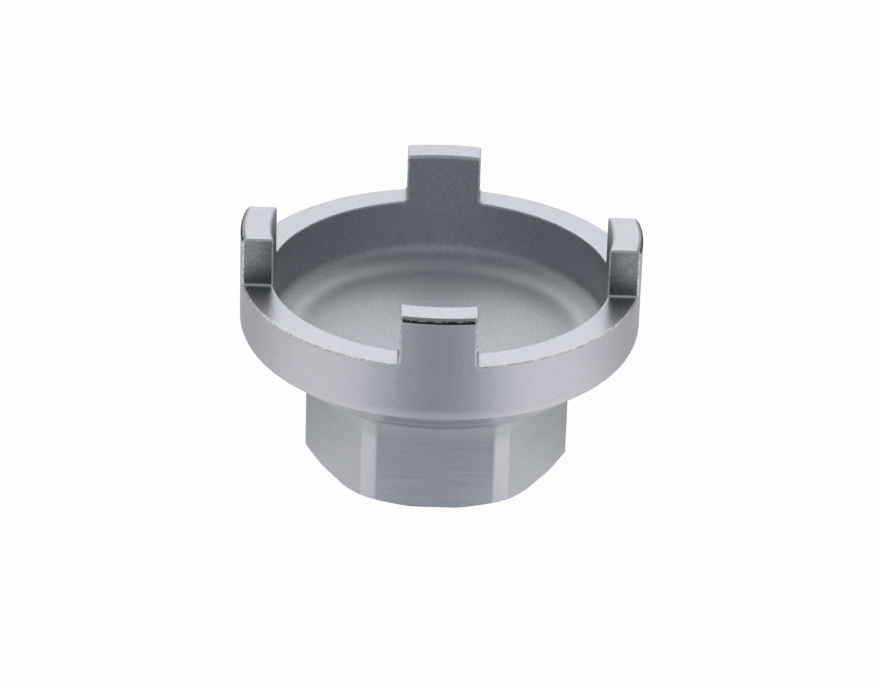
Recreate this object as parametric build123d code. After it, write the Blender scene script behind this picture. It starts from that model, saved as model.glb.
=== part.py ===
from build123d import *
import math
import os

os.makedirs("parts", exist_ok=True)

# Freewheel remover in one piece. Millimetres, +Z up, origin at the centre of the flat
# bottom of the hexagon. One prong and one flat of the hexagon face the front, -Y.

# Hexagon that takes the wrench. Its corners are turned off to a circle, and its height
# is that of the straight faces, below the root where they run out into the cup.
hex_across_flats = 24.0
hex_height = 8.48
hex_corner_turned_off = 0.456
hex_bottom_edge = 1.2
hex_bottom_cone_angle = 30.0

# Hollow root over the hexagon, turned round its corners and milled over its flats
turned_root_radius = 2.25
turned_root_width = 1.8
milled_root_radius = 2.1

# Cup
cup_outer_dia = 40.5
cup_wall_thickness = 3.05
cup_wall_height = 4.5
cup_shoulder_radius = 2.2
cup_underside_slope = 38.0
cup_depth = 6.65
cup_floor_cone_width = 2.45
cup_floor_cone_angle = 24.0

# Prongs that stand on the rim
prong_count = 4
prong_width = 7.6
prong_height = 5.2
prong_root_radius = 0.45
prong_corner_radius = 0.22
prong_outer_chamfer = 0.43
prong_inner_chamfer = 0.2

# Broken edges that run round the rim and up the sides of the prongs
outer_edge = 0.12
inner_edge = 0.12

# How far a cutting shape reaches past what it cuts
reach = 1.0

# Radii and heights that follow from the sizes above
cup_outer_radius = cup_outer_dia / 2
cup_bore_radius = cup_outer_radius - cup_wall_thickness
hex_corner_radius = hex_across_flats / 2 / math.cos(math.radians(30)) - hex_corner_turned_off
hex_bottom_radius = hex_corner_radius - hex_bottom_edge
hex_cone_height = hex_bottom_edge * math.tan(math.radians(hex_bottom_cone_angle))
root_turn = math.acos(1 - turned_root_width / turned_root_radius)
underside_radius = hex_corner_radius + turned_root_width
underside_z = hex_height + turned_root_radius * math.sin(root_turn)
slope = math.radians(cup_underside_slope)
shoulder_z = underside_z + (cup_outer_radius - underside_radius) * math.tan(slope)
wall_bottom_z = shoulder_z + cup_shoulder_radius * math.tan((math.pi / 2 - slope) / 2)
rim_z = wall_bottom_z + cup_wall_height
floor_z = rim_z - cup_depth
floor_cone_z = floor_z + cup_floor_cone_width * math.tan(math.radians(cup_floor_cone_angle))
prong_top_z = rim_z + prong_height


def corner_near(face, x, y):
    """The corner of a flat outline that lies nearest to the point x, y."""
    return face.vertices().sort_by_distance((x, y, 0))[0]


def edges_up_wall(shape, radius, top_z):
    """Edges on a round wall from the rim up to a height, without the level one at the top."""
    close = 0.01
    found = []
    for edge in shape.edges():
        points = [edge @ (step / 4) for step in range(5)]
        heights = [point.Z for point in points]
        on_wall = all(abs(math.hypot(point.X, point.Y) - radius) < close for point in points)
        above_rim = min(heights) > rim_z - close
        below_top = min(heights) < top_z - close and max(heights) < top_z + close
        if on_wall and above_rim and below_top:
            found.append(edge)
    return found


# Turned section, drawn as radius against height, with the wall as high as the prongs.
# The root is an arc that leaves the corners of the hexagon upright and turns outward.
turned_root = CenterArc(
    (hex_corner_radius + turned_root_radius, hex_height),
    turned_root_radius,
    180,
    -math.degrees(root_turn),
)
turned_lines = Polyline(
    (underside_radius, underside_z),
    (cup_outer_radius, shoulder_z),
    (cup_outer_radius, prong_top_z - prong_outer_chamfer),
    (cup_outer_radius - prong_outer_chamfer, prong_top_z),
    (cup_bore_radius + prong_inner_chamfer, prong_top_z),
    (cup_bore_radius, prong_top_z - prong_inner_chamfer),
    (cup_bore_radius, floor_cone_z),
    (cup_bore_radius - cup_floor_cone_width, floor_z),
    (0, floor_z),
    (0, 0),
    (hex_bottom_radius, 0),
    (hex_corner_radius, hex_cone_height),
    (hex_corner_radius, hex_height),
)
section = make_face(turned_lines + turned_root)
section = fillet(corner_near(section, cup_outer_radius, shoulder_z), cup_shoulder_radius)
body = revolve(Plane.XZ * section, axis=Axis.Z)

# Six flats, each cut by a cutter with a rounded corner that leaves the milled root
flat_half = hex_across_flats / 2
cutter_end = cup_outer_radius
cutter_top = hex_height + milled_root_radius
cutter_side = make_face(
    Polyline(
        (flat_half, -reach),
        (cutter_end, -reach),
        (cutter_end, cutter_top),
        (flat_half, cutter_top),
        close=True,
    )
)
cutter_side = fillet(corner_near(cutter_side, flat_half, cutter_top), milled_root_radius)
cutter = extrude(Plane.XZ * cutter_side, amount=flat_half, both=True)
body -= [Rot(0, 0, 30 + 60 * number) * cutter for number in range(6)]

# Prongs: an arm keeps each one while the wall between them is cut down to the rim
half_width = prong_width / 2
foot_half = half_width + 2 * prong_root_radius
side_view = make_face(
    Polyline(
        (-foot_half, rim_z - reach),
        (foot_half, rim_z - reach),
        (foot_half, rim_z),
        (half_width, rim_z),
        (half_width, prong_top_z),
        (-half_width, prong_top_z),
        (-half_width, rim_z),
        (-foot_half, rim_z),
        close=True,
    )
)
for side in (-1, 1):
    side_view = fillet(corner_near(side_view, side * half_width, rim_z), prong_root_radius)
    side_view = fillet(corner_near(side_view, side * half_width, prong_top_z), prong_corner_radius)
arm = extrude(Plane.XZ.offset(cup_bore_radius / 2) * side_view, amount=cup_outer_radius)
arms = [Rot(0, 0, 360 / prong_count * number) * arm for number in range(prong_count)]
gaps = extrude(Plane.XY.offset(rim_z) * Circle(cup_outer_radius + reach), amount=prong_height + reach)
body -= gaps - arms

# Broken edges of the rim and of the prong sides
body = chamfer(edges_up_wall(body, cup_outer_radius, prong_top_z - prong_outer_chamfer), outer_edge)
body = chamfer(edges_up_wall(body, cup_bore_radius, prong_top_z - prong_inner_chamfer), inner_edge)

print("height", round(prong_top_z, 3), "rim", round(rim_z, 3), "floor", round(floor_z, 3))
print("underside edge", round(underside_radius, 3), round(underside_z, 3))
print("volume", round(body.volume, 1), "valid", body.is_valid, "solids", len(body.solids()))
export_step(body, "parts/freewheel_remover.step")
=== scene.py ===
import math
from types import SimpleNamespace

import bmesh
import bpy
from mathutils import Matrix, Vector

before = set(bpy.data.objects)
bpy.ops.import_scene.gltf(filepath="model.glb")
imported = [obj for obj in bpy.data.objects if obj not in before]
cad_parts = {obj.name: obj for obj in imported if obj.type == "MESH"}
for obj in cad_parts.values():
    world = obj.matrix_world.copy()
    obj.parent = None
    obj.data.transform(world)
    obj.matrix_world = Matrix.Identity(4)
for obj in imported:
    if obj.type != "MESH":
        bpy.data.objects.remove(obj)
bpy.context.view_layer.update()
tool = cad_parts["freewheel_remover"]
MM = 0.001
WHITE = (1.0, 1.0, 1.0)

# Camera of the photo: the image is 879 by 681 and the camera looks along +Y and down
IMAGE_WIDTH = 879
IMAGE_HEIGHT = 681
FOCAL_PIXELS = 4407.0
SENSOR_WIDTH = 36.0
CLIP_START = 0.01
CLIP_END = 20.0
CAMERA_DISTANCE = 445.5 * MM
CAMERA_PITCH = math.radians(27.534)
CAMERA_ROLL = math.radians(1.808)
RIM_CENTRE = Vector((0, 0, 20.2 * MM))
RIM_PIXEL_X = 440.714
RIM_PIXEL_Y = 274.589

# Heights and radii of the part that the material needs, in millimetres
HEX_TOP = 8.48
HEX_CORNER_RADIUS = 13.4
CUP_FLOOR = 13.55
CUP_FLOOR_RADIUS = 14.75
CUP_BORE_RADIUS = 17.2
CUP_OUTER_RADIUS = 20.25
RIM = 20.2
PRONG_TOP = 25.4
PRONG_HALF_WIDTH = 3.8
OUTER_CHAMFER = 0.43

# Soft borders between the finishes, in millimetres. Each pair says where the change begins
# and where it ends. First the hexagon and the hollow root over it, by height and radius.
FLATS_END = (HEX_TOP - 0.3, HEX_TOP + 0.9)
TURNED_CORNER = (HEX_CORNER_RADIUS - 0.06, HEX_CORNER_RADIUS - 0.02)
ROOT_START = (HEX_TOP - 1.3, HEX_TOP + 0.2)
ROOT_END = (HEX_TOP + 1.9, HEX_TOP + 2.4)
ROOT_OUTSIDE = (15.4, 16.4)

# Inside of the cup, by height and radius, and the painted highlight on the ridge round its floor
# by distance
CUP_START = (HEX_TOP + 3.0, HEX_TOP + 3.5)
BORE_WALL = (CUP_BORE_RADIUS + 0.01, CUP_BORE_RADIUS + 0.05)
FLOOR_END = (CUP_FLOOR + 0.9, CUP_FLOOR + 1.7)
DEEP_END = (CUP_FLOOR + 1.8, CUP_FLOOR + 2.8)
RIDGE_HIGHLIGHT_FADE = (0.1, 1.5)

# Prongs, by height, and by distance from their sides
PRONG_FOOT = (RIM + 0.1, RIM + 0.3)
PRONG_HEAD = (PRONG_TOP - 0.3, PRONG_TOP - 0.1)
PRONG_SIDE = (0.03, 0.10)
# Where the painted shade on the prongs' sides fades, upward from the rim and outward from the
# bore
SIDE_SHADE_FADES_UP = (RIM, RIM + 3.6)
SIDE_SHADE_FADES_OUT = (CUP_BORE_RADIUS, CUP_BORE_RADIUS + 2.0)

# Chamfers over the outer faces of the prongs: distance from their plane, distance from the
# prong's sides where they end, and depth below the top where their painted shade turns from grey
# to dark
CHAMFER_PLANE = (0.03, 0.06)
CHAMFER_SIDE_END = (0.26, 0.40)
CHAMFER_SHADE_DEEPENS = (0.40, 0.26)

# Broken edges: depth in from the outer wall, width up the prongs, depth in from any wall
# there, distance from the middle planes where the prongs are left, and heights at the rim
EDGE_START = (0.02, 0.05)
EDGE_END = (0.12, 0.16)
EDGE_WIDTH = (0.22, 0.34)
EDGE_REACH = (0.14, 0.20)
OFF_PRONG = (4.05, 4.35)
EDGE_HEIGHT = (RIM - 0.20, RIM - 0.15)
WALL_TOP = (RIM - 0.6, RIM - 0.5)
CREST_START = (RIM - 0.14, RIM - 0.11)
CREST_END = (RIM + 0.05, RIM + 0.25)

# How far wear shifts the borders at the prongs' sides, and how far the same noise shifts the
# border of the painted shade in the chamfers
SIDE_WEAR = 0.12
CHAMFER_SHADE_JITTER = 0.16

# Marks on the surface: how sharply each noise is drawn, the stretch that turns noise into
# level lines, and the shares of slow change in the tone and of grain in the lines
GRAIN_CONTRAST = (0.25, 0.75)
WEAR_CONTRAST = (0.35, 0.65)
LINE_CONTRAST = (0.3, 0.7)
LINE_STRETCH = (0.16, 0.16, 6.0)
BLOTCH_SHARE = 0.25
GRAIN_SHARE = 0.4

# Colours of the metal, darkest and lightest. Those of the cup's wall, the prongs' sides and the
# chamfers are painted shade, those of the ridge and the broken edges painted highlight
PLAIN_SKIN = ((0.56, 0.56, 0.612), (0.66, 0.66, 0.71))
WALL_PAINTED_SHADE = ((0.43, 0.455, 0.475), (0.58, 0.605, 0.63))
FLOOR_SKIN = ((0.50, 0.515, 0.55), (0.68, 0.69, 0.725))
RIDGE_PAINTED_HIGHLIGHT = (0.76, 0.77, 0.80)
SIDE_PAINTED_SHADE = ((0.03, 0.033, 0.037), (0.44, 0.45, 0.47))
MILLED_SKIN = ((0.435, 0.45, 0.48), (0.545, 0.56, 0.595))
ROOT_SKIN = ((0.50, 0.52, 0.545), (0.57, 0.59, 0.615))
CHAMFER_PAINTED_SHADE = ((0.04, 0.042, 0.045), (0.42, 0.43, 0.45))
EDGE_PAINTED_HIGHLIGHT = ((0.62, 0.62, 0.66), WHITE)

# Tone of the prongs' sides, of 1: painted shade at their foot and at the bore, and darker where
# they are worn
SIDE_FOOT_SHADE = 0.25
SIDE_BORE_SHADE = 0.65
SIDE_WORN_TONE = 0.7

# Roughness, smoothest and roughest
PLAIN_ROUGH = (0.27, 0.35)
INSIDE_ROUGH = (0.27, 0.37)
FLOOR_ROUGH = (0.50, 0.60)
SIDE_ROUGH = (0.40, 0.50)
MILLED_ROUGH = (0.32, 0.42)
ROOT_ROUGH = 0.42
EDGE_ROUGH = 0.62

# Height of the grain outside and in the cup, and of the milling lines, in millimetres
GRAIN_HEIGHT = 0.012
GRAIN_HEIGHT_INSIDE = 0.03
LINE_HEIGHT = 0.02

# Radii to which the edges are rounded in shading
EDGE_RADIUS = 0.3 * MM
DEEP_RADIUS = 1.4 * MM
ROOT_RADIUS = 0.8 * MM
PRONG_EDGE_RADIUS = 0.55 * MM
WALL_TOP_RADIUS = 0.05 * MM
ROUNDING_SAMPLES = 6

# Floor: how white the camera sees it, and the painted reflection that the metal sees in it:
# painted shade in front of the part near its foot and farther off, lighter at both sides of the
# front, and painted shade round the back
FLOOR_HALF_WIDTH = 4.0
FLOOR_WHITE = 0.97
FLOOR_DIFFUSE = (0.9, 0.9, 0.9, 1.0)
FLOOR_FOOT_PAINTED_SHADE = (0.53, 0.565, 0.595)
FLOOR_FRONT_PAINTED_SHADE = (0.36, 0.395, 0.41)
FLOOR_LEFT_PAINTED_REFLECTION = (0.85, 0.85, 0.86)
FLOOR_RIGHT_PAINTED_REFLECTION = (0.91, 0.91, 0.92)
FLOOR_BACK_PAINTED_SHADE = (0.54, 0.55, 0.56)

# Borders of these fields: two turned from the front, one across the middle from left to
# right, and one by distance from the part's axis
FRONT_TO_SIDE = (math.radians(3), math.radians(46))
SIDE_TO_REST = (math.radians(64), math.radians(116))
LEFT_TO_RIGHT = (-0.01, 0.01)
FOOT_TO_FRONT = (0.026, 0.040)

# Room above the horizon: light levels, and their borders by height or from back to front
ROOM_TINT = (0.93, 1.0, 1.04)
HORIZON_LEVEL = 0.985
FRONT_LEVEL = 0.45
SIDE_LEVEL = 0.2
TOP_LEVEL = 0.2
TOP_FRONT_LEVEL = 0.5
HORIZON_TO_ROOM = (0.05, 0.22)
ROOM_TO_TOP = (0.6, 0.85)
BACK_TO_FRONT = (0.3, -0.9)

# First input and output of a Mix node for each kind of data
MIX_SOCKETS = {"FLOAT": (2, 0), "VECTOR": (4, 1), "RGBA": (6, 2)}


def make_camera():
    """Camera placed so that the rim's centre falls on its pixel, with the photo's roll."""
    level = Matrix((
        (1, 0, 0),
        (0, -math.sin(CAMERA_PITCH), -math.cos(CAMERA_PITCH)),
        (0, math.cos(CAMERA_PITCH), -math.sin(CAMERA_PITCH)),
    ))
    view = Matrix.Rotation(CAMERA_ROLL, 3, "Z") @ level
    offset = Vector((
        (RIM_PIXEL_X - IMAGE_WIDTH / 2) / FOCAL_PIXELS * CAMERA_DISTANCE,
        (RIM_PIXEL_Y - IMAGE_HEIGHT / 2) / FOCAL_PIXELS * CAMERA_DISTANCE,
        CAMERA_DISTANCE,
    ))
    data = bpy.data.cameras.new("camera")
    data.sensor_width = SENSOR_WIDTH
    data.lens = FOCAL_PIXELS / IMAGE_WIDTH * SENSOR_WIDTH
    data.clip_start = CLIP_START
    data.clip_end = CLIP_END
    camera = bpy.data.objects.new("camera", data)
    bpy.context.scene.collection.objects.link(camera)
    right, up, back = view[0], -view[1], -view[2]
    camera.matrix_world = Matrix((right, up, back)).transposed().to_4x4()
    camera.location = RIM_CENTRE - view.transposed() @ offset
    bpy.context.scene.camera = camera


class Nodes:
    """Short calls for building a node tree."""

    def __init__(self, tree):
        self.tree = tree

    def add(self, kind, **values):
        node = self.tree.nodes.new(kind)
        for name, value in values.items():
            setattr(node, name, value)
        return node

    def link(self, output, target):
        self.tree.links.new(output, target)

    def put(self, value, socket):
        """Sets a socket to a number, a vector or a colour, or links an output to it."""
        if isinstance(value, (int, float)):
            socket.default_value = value
        elif isinstance(value, tuple):
            socket.default_value = value if socket.type == "VECTOR" else (*value, 1.0)
        else:
            self.link(value, socket)

    def math(self, operation, a, b=0.0):
        node = self.add("ShaderNodeMath", operation=operation)
        self.put(a, node.inputs[0])
        self.put(b, node.inputs[1])
        return node.outputs[0]

    def both(self, first, *others):
        """The product, which is 1 only where every mask is 1."""
        for other in others:
            first = self.math("MULTIPLY", first, other)
        return first

    def either(self, first, *others):
        """The largest, which is 1 where any of the masks is 1."""
        for other in others:
            first = self.math("MAXIMUM", first, other)
        return first

    def distance(self, value, place):
        return self.math("ABSOLUTE", self.math("SUBTRACT", value, place))

    def from_axis(self, x, y):
        squares = self.math("ADD", self.math("MULTIPLY", x, x), self.math("MULTIPLY", y, y))
        return self.math("SQRT", squares)

    def step(self, value, low, high):
        """0 up to low, 1 from high on, smooth between them."""
        node = self.add("ShaderNodeMapRange", interpolation_type="SMOOTHSTEP")
        self.link(value, node.inputs["Value"])
        node.inputs["From Min"].default_value = low
        node.inputs["From Max"].default_value = high
        return node.outputs["Result"]

    def fade(self, value, low, high):
        """1 up to low, 0 from high on, smooth between them."""
        return self.math("SUBTRACT", 1.0, self.step(value, low, high))

    def split(self, vector):
        node = self.add("ShaderNodeSeparateXYZ")
        self.link(vector, node.inputs[0])
        return node.outputs

    def scaled(self, vector, x, y, z):
        node = self.add("ShaderNodeVectorMath", operation="MULTIPLY")
        self.link(vector, node.inputs[0])
        node.inputs[1].default_value = (x, y, z)
        return node.outputs[0]

    def noise(self, vector, scale, detail, roughness):
        node = self.add("ShaderNodeTexNoise")
        self.link(vector, node.inputs["Vector"])
        node.inputs["Scale"].default_value = scale
        node.inputs["Detail"].default_value = detail
        node.inputs["Roughness"].default_value = roughness
        return node.outputs["Fac"]

    def mix(self, kind, factor, a, b):
        first, result = MIX_SOCKETS[kind]
        node = self.add("ShaderNodeMix", data_type=kind)
        self.put(factor, node.inputs[0])
        self.put(a, node.inputs[first])
        self.put(b, node.inputs[first + 1])
        return node.outputs[result]

    def mix_value(self, factor, a, b):
        return self.mix("FLOAT", factor, a, b)

    def mix_colour(self, factor, a, b):
        return self.mix("RGBA", factor, a, b)


def surface_marks(n, mm):
    """Grain of the plate, coarse wear, change of tone, and level lines of the milling cutter."""
    fine = n.noise(mm, scale=4.0, detail=3.0, roughness=0.6)
    grain = n.step(fine, *GRAIN_CONTRAST)
    coarse = n.step(n.noise(mm, scale=3.0, detail=4.0, roughness=0.7), *WEAR_CONTRAST)
    blotch = n.noise(mm, scale=0.45, detail=2.0, roughness=0.5)
    drawn = n.noise(n.scaled(mm, *LINE_STRETCH), scale=1.0, detail=1.0, roughness=0.5)
    return SimpleNamespace(
        fine=fine,
        grain=grain,
        coarse=coarse,
        tone=n.mix_value(BLOTCH_SHARE, grain, blotch),
        lines=n.mix_value(GRAIN_SHARE, n.step(drawn, *LINE_CONTRAST), grain),
    )


def surface_masks(n, x, y, z, radius, coarse):
    """Masks that are 1 on one kind of surface and 0 on the others."""
    m = SimpleNamespace()
    m.flats = n.both(n.fade(z, *FLATS_END), n.fade(radius, *TURNED_CORNER))
    m.root = n.both(n.step(z, *ROOT_START), n.fade(z, *ROOT_END), n.fade(radius, *ROOT_OUTSIDE))
    m.inside = n.both(n.fade(radius, *BORE_WALL), n.step(z, *CUP_START))
    m.floor = n.both(m.inside, n.fade(z, *FLOOR_END))
    m.deep = n.both(m.inside, n.fade(z, *DEEP_END))

    # Sides of the prongs, and the distance from them made uneven by wear
    off_x = n.math("ABSOLUTE", x)
    off_y = n.math("ABSOLUTE", y)
    to_side = n.math(
        "MINIMUM", n.distance(off_x, PRONG_HALF_WIDTH), n.distance(off_y, PRONG_HALF_WIDTH)
    )
    worn_side = n.math("ADD", to_side, n.math("MULTIPLY", coarse, SIDE_WEAR))
    above_foot = n.step(z, *PRONG_FOOT)
    m.prong_sides = n.both(n.fade(to_side, *PRONG_SIDE), above_foot, n.fade(z, *PRONG_HEAD))

    # Chamfers over the outer faces of the prongs, which stop short of the prong's sides
    depth = n.math("SUBTRACT", CUP_OUTER_RADIUS, radius)
    drop = n.math("SUBTRACT", PRONG_TOP, z)
    off_plane = n.distance(n.math("ADD", depth, drop), OUTER_CHAMFER)
    chamfer_plane = n.fade(off_plane, *CHAMFER_PLANE)
    m.chamfer = n.both(chamfer_plane, n.step(worn_side, *CHAMFER_SIDE_END))

    # Outer broken edge with its crest between the prongs, and the top of the wall under it
    shallow = n.fade(depth, *EDGE_END)
    rim_edge = n.both(n.step(depth, *EDGE_START), shallow, n.step(z, *EDGE_HEIGHT))
    off_prong = n.step(n.math("MINIMUM", off_x, off_y), *OFF_PRONG)
    m.wall_top = n.both(off_prong, shallow, n.step(z, *WALL_TOP))
    m.crest = n.both(m.wall_top, n.step(z, *CREST_START), n.fade(z, *CREST_END))

    # Edges up the sides of the prongs, outside and inside, and the ends of the chamfers
    outer_face = n.fade(depth, *EDGE_REACH)
    inner_face = n.fade(n.math("SUBTRACT", radius, CUP_BORE_RADIUS), *EDGE_REACH)
    any_face = n.either(outer_face, chamfer_plane, inner_face)
    m.prong_edge = n.both(n.fade(worn_side, *EDGE_WIDTH), any_face, above_foot)
    m.broken_edge = n.either(rim_edge, m.crest, m.prong_edge)
    return m


def skin_colour(n, z, radius, marks, m):
    """Colour of the metal on each kind of surface, lighter and darker with its marks, with
    painted shade on the cup's wall, the prongs' sides and the chamfers, and painted highlights
    on the ridge and the broken edges.
    """
    from_ridge = n.distance(radius, CUP_FLOOR_RADIUS)
    floor = n.mix_colour(marks.grain, *FLOOR_SKIN)
    # Painted highlight along the ridge round the cup's floor
    floor = n.mix_colour(n.step(from_ridge, *RIDGE_HIGHLIGHT_FADE), RIDGE_PAINTED_HIGHLIGHT, floor)
    # Bore wall of the cup: its darker colour is painted shade
    wall = n.mix_colour(marks.grain, *WALL_PAINTED_SHADE)
    side_shade_and_wear = n.both(
        n.mix_value(n.step(z, *SIDE_SHADE_FADES_UP), SIDE_FOOT_SHADE, 1.0),
        n.mix_value(n.step(radius, *SIDE_SHADE_FADES_OUT), SIDE_BORE_SHADE, 1.0),
        n.mix_value(marks.coarse, SIDE_WORN_TONE, 1.0),
    )
    drop = n.math("SUBTRACT", PRONG_TOP, z)
    uneven_shade_drop = n.math("ADD", drop, n.math("MULTIPLY", marks.coarse, CHAMFER_SHADE_JITTER))
    # Chamfers: painted shade, grey near the top and dark below
    chamfer = n.mix_colour(n.step(uneven_shade_drop, *CHAMFER_SHADE_DEEPENS), *CHAMFER_PAINTED_SHADE)

    colour = n.mix_colour(marks.tone, *PLAIN_SKIN)
    colour = n.mix_colour(m.inside, colour, n.mix_colour(m.floor, wall, floor))
    # Prongs' sides: painted shade, darkest at the foot and at the bore, with wear
    colour = n.mix_colour(m.prong_sides, colour, n.mix_colour(side_shade_and_wear, *SIDE_PAINTED_SHADE))
    colour = n.mix_colour(m.flats, colour, n.mix_colour(marks.lines, *MILLED_SKIN))
    colour = n.mix_colour(m.root, colour, n.mix_colour(marks.tone, *ROOT_SKIN))
    # Broken edges: painted highlight, broken up by the wear noise
    colour = n.mix_colour(m.broken_edge, colour, n.mix_colour(marks.coarse, *EDGE_PAINTED_HIGHLIGHT))
    return n.mix_colour(m.chamfer, colour, chamfer)


def skin_roughness(n, marks, m):
    rough = n.mix_value(marks.grain, *PLAIN_ROUGH)
    rough = n.mix_value(m.inside, rough, n.mix_value(marks.grain, *INSIDE_ROUGH))
    rough = n.mix_value(m.floor, rough, n.mix_value(marks.grain, *FLOOR_ROUGH))
    rough = n.mix_value(m.prong_sides, rough, n.mix_value(marks.grain, *SIDE_ROUGH))
    rough = n.mix_value(m.flats, rough, n.mix_value(marks.lines, *MILLED_ROUGH))
    rough = n.mix_value(m.root, rough, ROOT_ROUGH)
    return n.mix_value(m.broken_edge, rough, EDGE_ROUGH)


def skin_normal(n, marks, m):
    """Edges rounded in shading, the rim's crest turned up to the light, and grain and lines."""
    edge_radius = n.mix_value(m.deep, EDGE_RADIUS, DEEP_RADIUS)
    edge_radius = n.mix_value(m.root, edge_radius, ROOT_RADIUS)
    edge_radius = n.mix_value(m.prong_edge, edge_radius, PRONG_EDGE_RADIUS)
    edge_radius = n.mix_value(m.wall_top, edge_radius, WALL_TOP_RADIUS)
    rounded = n.add("ShaderNodeBevel", samples=ROUNDING_SAMPLES)
    n.link(edge_radius, rounded.inputs["Radius"])
    upward = (0.0, 0.0, 1.0)
    lifted = n.mix("VECTOR", m.crest, rounded.outputs[0], upward)

    grain_height = n.mix_value(m.inside, GRAIN_HEIGHT, GRAIN_HEIGHT_INSIDE)
    height = n.math("MULTIPLY", marks.fine, grain_height)
    height = n.mix_value(m.flats, height, n.math("MULTIPLY", marks.lines, LINE_HEIGHT))
    bump = n.add("ShaderNodeBump")
    bump.inputs["Strength"].default_value = 1.0
    bump.inputs["Distance"].default_value = MM
    n.link(lifted, bump.inputs["Normal"])
    n.link(height, bump.inputs["Height"])
    return bump.outputs[0]


def plated_steel():
    """Satin plate over turned and milled steel."""
    material = bpy.data.materials.new("plated_steel")
    material.use_nodes = True
    n = Nodes(material.node_tree)
    shader = material.node_tree.nodes["Principled BSDF"]
    place = n.add("ShaderNodeTexCoord").outputs["Object"]
    mm = n.scaled(place, 1 / MM, 1 / MM, 1 / MM)
    x, y, z = n.split(mm)
    radius = n.from_axis(x, y)
    marks = surface_marks(n, mm)
    masks = surface_masks(n, x, y, z, radius, marks.coarse)
    n.link(skin_colour(n, z, radius, marks, masks), shader.inputs["Base Color"])
    n.link(skin_roughness(n, marks, masks), shader.inputs["Roughness"])
    n.link(skin_normal(n, marks, masks), shader.inputs["Normal"])
    shader.inputs["Metallic"].default_value = 1.0
    return material


def floor_paper():
    """White paper for the camera. For the metal it shows a painted reflection: painted shade in
    front and round the back, lighter at the sides.
    """
    paper = bpy.data.materials.new("floor_paper")
    paper.use_nodes = True
    tree = paper.node_tree
    tree.nodes.clear()
    n = Nodes(tree)
    place = n.split(n.add("ShaderNodeTexCoord").outputs["Object"])
    x, y = place["X"], place["Y"]
    # Painted reflection: shade in front of the part and round its back, lighter at the sides
    turn = n.math("ARCTAN2", n.math("ABSOLUTE", x), n.math("MULTIPLY", y, -1.0))
    front = n.mix_colour(n.step(n.from_axis(x, y), *FOOT_TO_FRONT), FLOOR_FOOT_PAINTED_SHADE, FLOOR_FRONT_PAINTED_SHADE)
    side = n.mix_colour(n.step(x, *LEFT_TO_RIGHT), FLOOR_LEFT_PAINTED_REFLECTION, FLOOR_RIGHT_PAINTED_REFLECTION)
    painted_reflection = n.mix_colour(n.step(turn, *FRONT_TO_SIDE), front, side)
    painted_reflection = n.mix_colour(n.step(turn, *SIDE_TO_REST), painted_reflection, FLOOR_BACK_PAINTED_SHADE)

    path = n.add("ShaderNodeLightPath").outputs
    mirrored = n.either(path["Is Glossy Ray"], path["Is Transmission Ray"])
    seen = n.math("MULTIPLY", path["Is Camera Ray"], FLOOR_WHITE)
    white = n.add("ShaderNodeEmission")
    # Glossy and transmission rays see the painted reflection, camera rays plain white
    n.link(n.mix_colour(mirrored, WHITE, painted_reflection), white.inputs["Color"])
    diffuse = n.add("ShaderNodeBsdfDiffuse")
    diffuse.inputs["Color"].default_value = FLOOR_DIFFUSE
    mix = n.add("ShaderNodeMixShader")
    n.link(n.either(seen, mirrored), mix.inputs[0])
    n.link(diffuse.outputs[0], mix.inputs[1])
    n.link(white.outputs[0], mix.inputs[2])
    n.link(mix.outputs[0], n.add("ShaderNodeOutputMaterial").inputs["Surface"])
    return paper


def make_floor():
    half = FLOOR_HALF_WIDTH
    mesh = bpy.data.meshes.new("floor")
    bm = bmesh.new()
    corners = ((-half, -half), (half, -half), (half, half), (-half, half))
    bm.faces.new([bm.verts.new((x, y, 0)) for x, y in corners])
    bm.to_mesh(mesh)
    bm.free()
    mesh.materials.append(floor_paper())
    sheet = bpy.data.objects.new("floor", mesh)
    bpy.context.scene.collection.objects.link(sheet)


def softbox(name, place, target, width, height, radiance):
    """Lamp that shines on the part but isn't seen by the camera."""
    data = bpy.data.lights.new(name, "AREA")
    data.shape = "RECTANGLE"
    data.size = width
    data.size_y = height
    data.energy = radiance * math.pi * width * height
    lamp = bpy.data.objects.new(name, data)
    bpy.context.scene.collection.objects.link(lamp)
    lamp.location = place
    lamp.rotation_mode = "QUATERNION"
    lamp.rotation_quaternion = (Vector(target) - Vector(place)).to_track_quat("-Z", "Y")
    lamp.visible_camera = False


def make_light():
    """Softboxes behind and overhead, in a studio that is pale at the horizon and dim above."""
    world = bpy.data.worlds.new("studio")
    bpy.context.scene.world = world
    world.use_nodes = True
    n = Nodes(world.node_tree)
    background = world.node_tree.nodes["Background"]
    direction = n.split(n.add("ShaderNodeTexCoord").outputs["Generated"])
    rise = n.step(direction["Z"], *HORIZON_TO_ROOM)
    front = n.step(direction["Y"], *BACK_TO_FRONT)
    room = n.mix_value(front, SIDE_LEVEL, FRONT_LEVEL)
    top = n.mix_value(front, TOP_LEVEL, TOP_FRONT_LEVEL)
    room = n.mix_value(n.step(direction["Z"], *ROOM_TO_TOP), room, top)
    n.link(n.mix_value(rise, HORIZON_LEVEL, room), background.inputs["Strength"])
    n.link(n.mix_colour(rise, WHITE, ROOM_TINT), background.inputs["Color"])
    softbox(
        "back_softbox",
        place=(0, 0.62, 0.34),
        target=(0, 0, 0.015),
        width=0.95,
        height=0.55,
        radiance=0.66,
    )
    softbox(
        "top_softbox",
        place=(-0.15, 0.60, 0.75),
        target=(-0.15, 0.60, 0),
        width=1.5,
        height=0.9,
        radiance=0.95,
    )


tool.data.materials.clear()
tool.data.materials.append(plated_steel())
make_camera()
make_floor()
make_light()
bpy.context.scene.view_settings.view_transform = "Standard"
